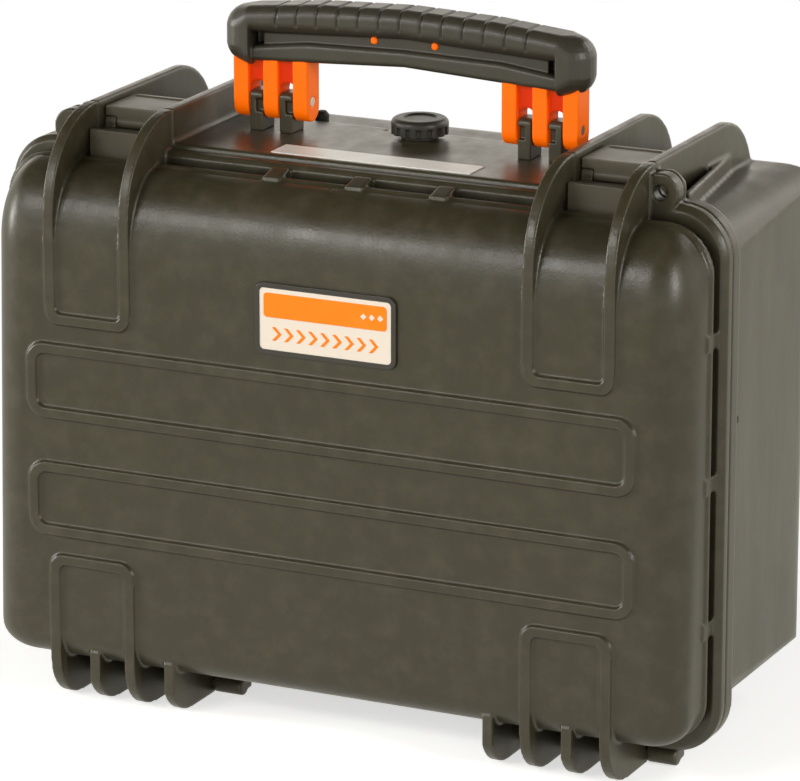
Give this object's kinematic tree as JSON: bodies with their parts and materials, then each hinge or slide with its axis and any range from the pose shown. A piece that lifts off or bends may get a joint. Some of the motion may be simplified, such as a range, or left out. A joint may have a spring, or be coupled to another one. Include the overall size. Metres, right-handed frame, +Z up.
{
  "type": "hard tool case",
  "caption": "Upright hard plastic tool case with a hinged lid, claw latches, padlock eyelets, a folding handle with orange legs, an air valve and a bare badge",
  "frame": {"origin": "centre of the bounding box's bottom, on the floor under the feet", "axes": "+X runs to the right seen from the lid side, +Y from the lid to the back of the base, +Z up"},
  "size_m": [0.41, 0.205, 0.3739],
  "materials": {
    "shell": "moulded, fine satin grain",
    "latch": "moulded, satin",
    "seal": "dull",
    "steel": "turned",
    "leg": "moulded, semi-gloss",
    "grip": "soft, satin",
    "valve": "moulded, satin",
    "badge_edge": "glossy",
    "badge_field": "glossy",
    "badge_stripe": "glossy",
    "label": "smooth film"
  },
  "bodies": {
    "base": {"base_shell": "shell", "hinge_pin_left": "steel", "hinge_pin_right": "steel", "claw_pin_left": "steel", "claw_pin_right": "steel", "handle_pin_left": "steel", "handle_pin_right": "steel", "handle_bumpers": "seal", "handle_lugs": "shell", "valve_body": "valve", "valve_seal": "seal", "valve_nut": "steel", "label_strip": "label"},
    "lid": {"lid_shell": "shell", "rim_seal": "seal", "badge_frame": "badge_edge", "badge_plate": "badge_field", "badge_stripe": "badge_stripe"},
    "left_claw": {"latch_claw_left": "latch", "lever_pin_left": "steel"},
    "right_claw": {"latch_claw_right": "latch", "lever_pin_right": "steel"},
    "left_lever": {"latch_lever_left": "latch"},
    "right_lever": {"latch_lever_right": "latch"},
    "handle": {"handle_core": "leg", "handle_grip": "grip"},
    "valve_knob": {"valve_knob": "valve"}
  },
  "joints": [
    {"name": "lid_hinge", "type": "hinge", "parent": "base", "child": "lid", "pos_m": [0, -0.0515, 0.0055], "axis": [1, 0, 0], "range_deg": [0, 100]},
    {"name": "left_claw_pivot", "type": "hinge", "parent": "base", "child": "left_claw", "pos_m": [-0.13725, -0.0185, 0.304], "axis": [-1, 0, 0], "range_deg": [0, 80]},
    {"name": "right_claw_pivot", "type": "hinge", "parent": "base", "child": "right_claw", "pos_m": [0.13725, -0.0185, 0.304], "axis": [-1, 0, 0], "range_deg": [0, 80]},
    {"name": "left_lever_pivot", "type": "hinge", "parent": "left_claw", "child": "left_lever", "pos_m": [-0.13725, -0.0425, 0.3073], "axis": [1, 0, 0], "range_deg": [0, 80]},
    {"name": "right_lever_pivot", "type": "hinge", "parent": "right_claw", "child": "right_lever", "pos_m": [0.13725, -0.0425, 0.3073], "axis": [1, 0, 0], "range_deg": [0, 80]},
    {"name": "handle_pivot", "type": "hinge", "parent": "base", "child": "handle", "pos_m": [0, 0.002, 0.318], "axis": [-1, 0, 0], "range_deg": [0, 80]},
    {"name": "valve_turn", "type": "hinge", "parent": "base", "child": "valve_knob", "pos_m": [0, 0.0152, 0.3085], "axis": [0, 0, 1], "range_deg": [0, 180]}
  ]
}
